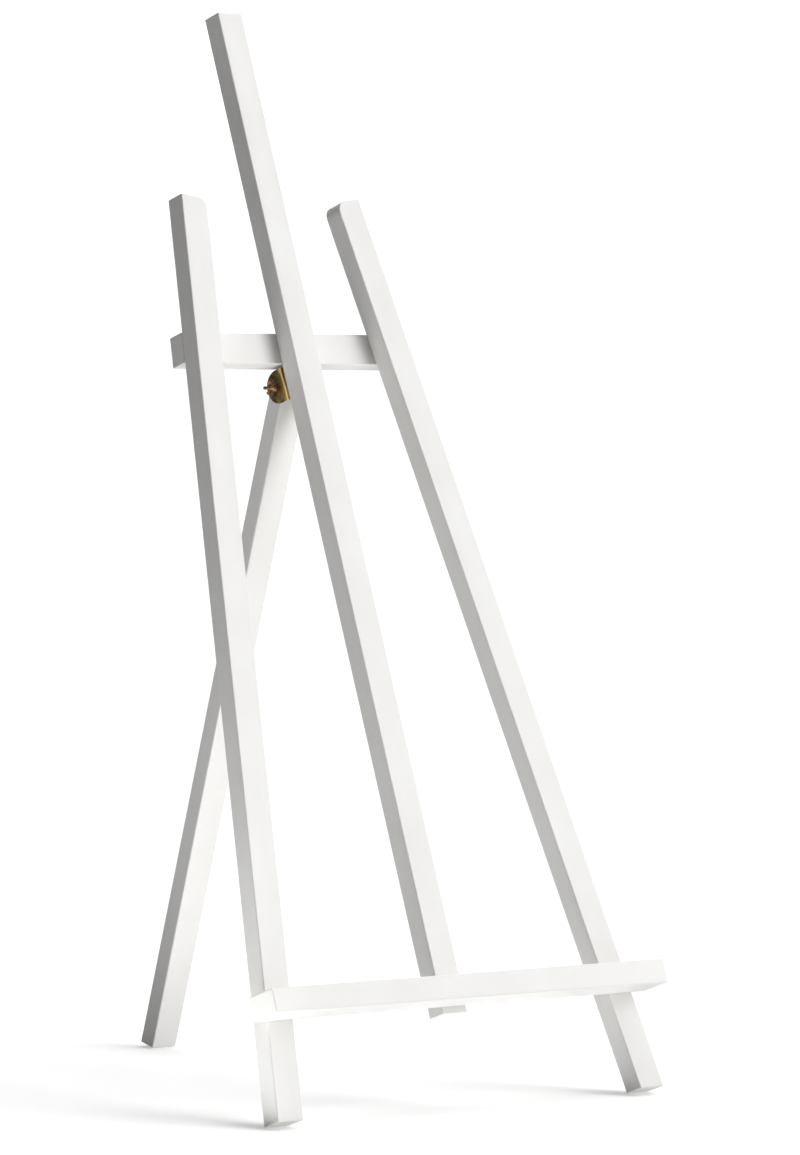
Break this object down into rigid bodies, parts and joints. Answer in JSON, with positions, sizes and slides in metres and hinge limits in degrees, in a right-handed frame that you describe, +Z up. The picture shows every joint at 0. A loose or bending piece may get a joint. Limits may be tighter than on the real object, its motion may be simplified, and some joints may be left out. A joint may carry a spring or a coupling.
{
  "type": "folding display easel",
  "caption": "White painted wooden easel with a tall centre mast, splayed front legs, a crossbar, a shelf and a rear leg that folds on a brass bracket.",
  "frame": {"origin": "on the floor, under the middle of the bounding box of the open easel", "axes": "+Z up, +X to the right of a viewer who faces the shelf, +Y from the front legs towards the rear leg"},
  "size_m": [0.744, 0.6936, 1.5085],
  "materials": {
    "painted_wood": "satin white paint on softwood",
    "antique_brass": "antiqued, dark in the recesses",
    "copper_brass": "worn, reddish",
    "zinc_steel": "zinc plated",
    "spacer_plastic": "matte"
  },
  "bodies": {
    "easel_frame": {"centre_mast": "painted_wood", "left_leg": "painted_wood", "right_leg": "painted_wood", "crossbar": "painted_wood", "shelf": "painted_wood", "hinge_bracket": "antique_brass", "bracket_screws": "antique_brass", "crossbar_screws": "zinc_steel", "shelf_screws": "zinc_steel", "pivot_bolt": "antique_brass", "head_washer": "antique_brass"},
    "rear_leg": {"rear_leg": "painted_wood", "pivot_bush": "antique_brass", "pivot_spacers": "spacer_plastic"},
    "nut_washer": {"nut_washer": "antique_brass"},
    "wing_nut": {"wing_nut": "copper_brass"}
  },
  "joints": [
    {"name": "rear_leg_fold", "type": "hinge", "parent": "easel_frame", "child": "rear_leg", "pos_m": [0, 0.10995, 0.97759], "axis": [-1, 0, 0], "range_deg": [0, 35.4]},
    {"name": "nut_washer_travel", "type": "slide", "parent": "easel_frame", "child": "nut_washer", "axis": [-1, 0, 0], "range_m": [0, 0.00081]},
    {"name": "wing_nut_turn", "type": "hinge", "parent": "nut_washer", "child": "wing_nut", "pos_m": [0, 0.10995, 0.97759], "axis": [-1, 0, 0], "range_deg": [0, 360]}
  ],
  "couplings": [
    {"joint": "nut_washer_travel", "follows": "wing_nut_turn", "m_per_rad": 0.00012732}
  ]
}
